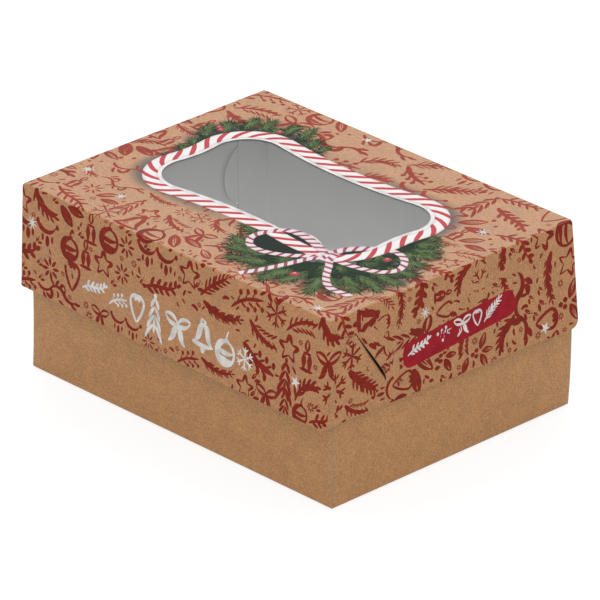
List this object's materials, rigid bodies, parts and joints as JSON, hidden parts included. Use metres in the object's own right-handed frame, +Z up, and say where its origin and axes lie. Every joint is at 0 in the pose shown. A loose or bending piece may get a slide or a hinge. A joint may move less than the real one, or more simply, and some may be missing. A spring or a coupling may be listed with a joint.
{
  "type": "hinged-lid sweet box",
  "caption": "Folded kraft board sweet box: an open tray with locked corners and a deep printed lid hinged along the back, its waisted window closed by clear film.",
  "frame": {"origin": "middle of the tray's flat underside, on the surface that the box stands on", "axes": "+X along the box's length to its right-hand end, +Y from the front skirt to the hinge crease at the back, +Z up"},
  "size_m": [0.2082, 0.157, 0.093],
  "materials": {
    "plain_board": "matte",
    "printed_board": "matte",
    "clear_film": "gloss"
  },
  "bodies": {
    "tray": {"tray_bottom": "plain_board", "tray_front_wall": "plain_board", "tray_back_wall": "plain_board", "tray_left_wall": "plain_board", "tray_right_wall": "plain_board", "tray_front_left_lock": "plain_board", "tray_front_right_lock": "plain_board", "tray_back_left_lock": "plain_board", "tray_back_right_lock": "plain_board"},
    "lid": {"lid_top": "printed_board", "window_film": "clear_film", "lid_front_skirt": "printed_board", "lid_left_skirt": "printed_board", "lid_right_skirt": "printed_board", "lid_left_ear": "printed_board", "lid_right_ear": "printed_board"}
  },
  "joints": [
    {"name": "lid_hinge", "type": "hinge", "parent": "tray", "child": "lid", "pos_m": [0, 0.0742, 0.093], "axis": [-1, 0, 0], "range_deg": [0, 180]}
  ]
}
